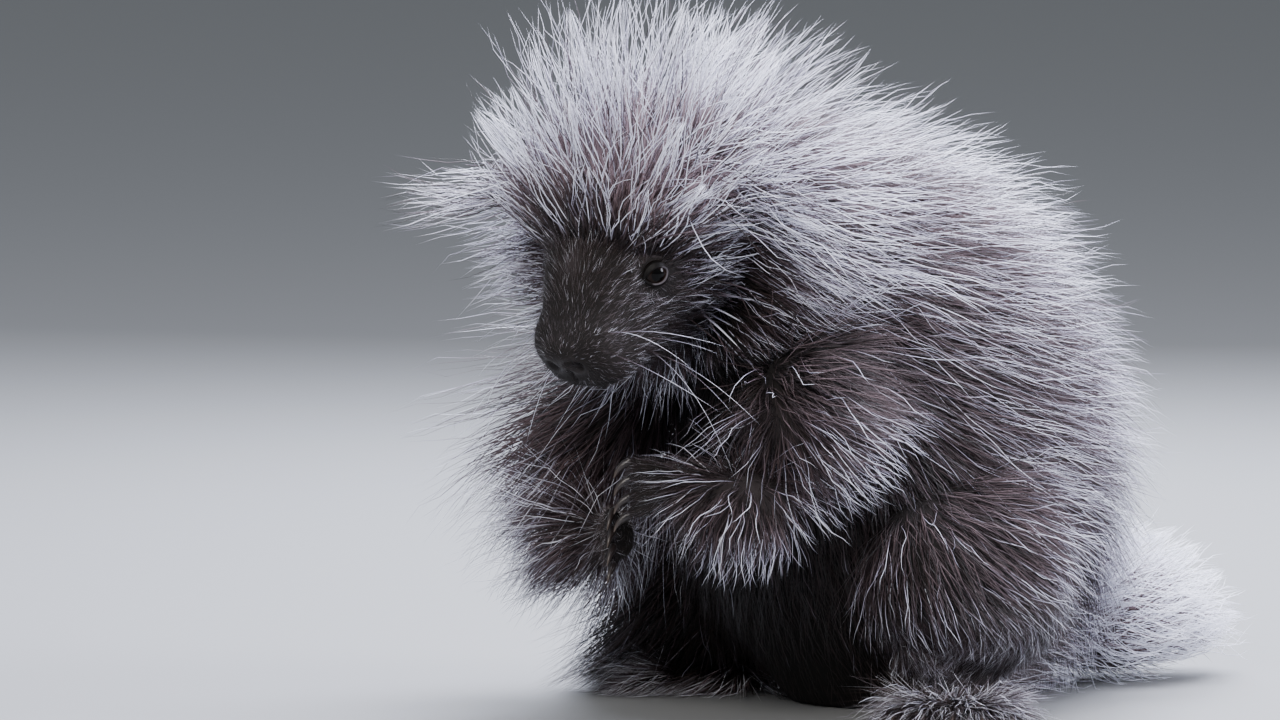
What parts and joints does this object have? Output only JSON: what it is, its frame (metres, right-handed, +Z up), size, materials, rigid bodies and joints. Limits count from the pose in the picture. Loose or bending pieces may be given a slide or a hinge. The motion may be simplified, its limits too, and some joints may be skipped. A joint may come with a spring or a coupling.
{
  "type": "porcupine",
  "caption": "Young porcupine sitting up on its haunches with forepaws together at its chest, as a still life-size model.",
  "frame": {"origin": "centre of the flat under the rump, at floor level", "axes": "+Z up, +X to the animal's left, -Y ahead of the animal, so that +Y runs along the tail"},
  "size_m": [0.2556, 0.3986, 0.2911],
  "materials": {
    "grizzled_fur": "long coarse fur, dark at the root and silver at the tip",
    "dark_fur": "brown-black fur",
    "pale_fur": "cream-white fur and quills",
    "bare_skin": "matte dark skin",
    "claw": "smooth dark horn",
    "eye": "glossy black"
  },
  "bodies": {
    "root": {"eye_left": "eye", "claw_fore_left_1": "claw", "claw_fore_left_2": "claw", "claw_fore_left_3": "claw", "claw_fore_left_4": "claw", "claw_hind_left_1": "claw", "claw_hind_left_2": "claw", "claw_hind_left_3": "claw", "claw_hind_left_4": "claw", "claw_hind_left_5": "claw", "forepaw_left": "bare_skin", "hind_foot_left": "bare_skin", "ear_left": "dark_fur", "foreleg_left": "grizzled_fur", "hind_leg_left": "dark_fur", "eye_right": "eye", "claw_fore_right_1": "claw", "claw_fore_right_2": "claw", "claw_fore_right_3": "claw", "claw_fore_right_4": "claw", "claw_hind_right_1": "claw", "claw_hind_right_2": "claw", "claw_hind_right_3": "claw", "claw_hind_right_4": "claw", "claw_hind_right_5": "claw", "forepaw_right": "bare_skin", "hind_foot_right": "bare_skin", "ear_right": "dark_fur", "foreleg_right": "grizzled_fur", "hind_leg_right": "dark_fur", "head": "dark_fur", "tail": "pale_fur", "neck": "grizzled_fur", "torso": "grizzled_fur"}
  },
  "joints": []
}
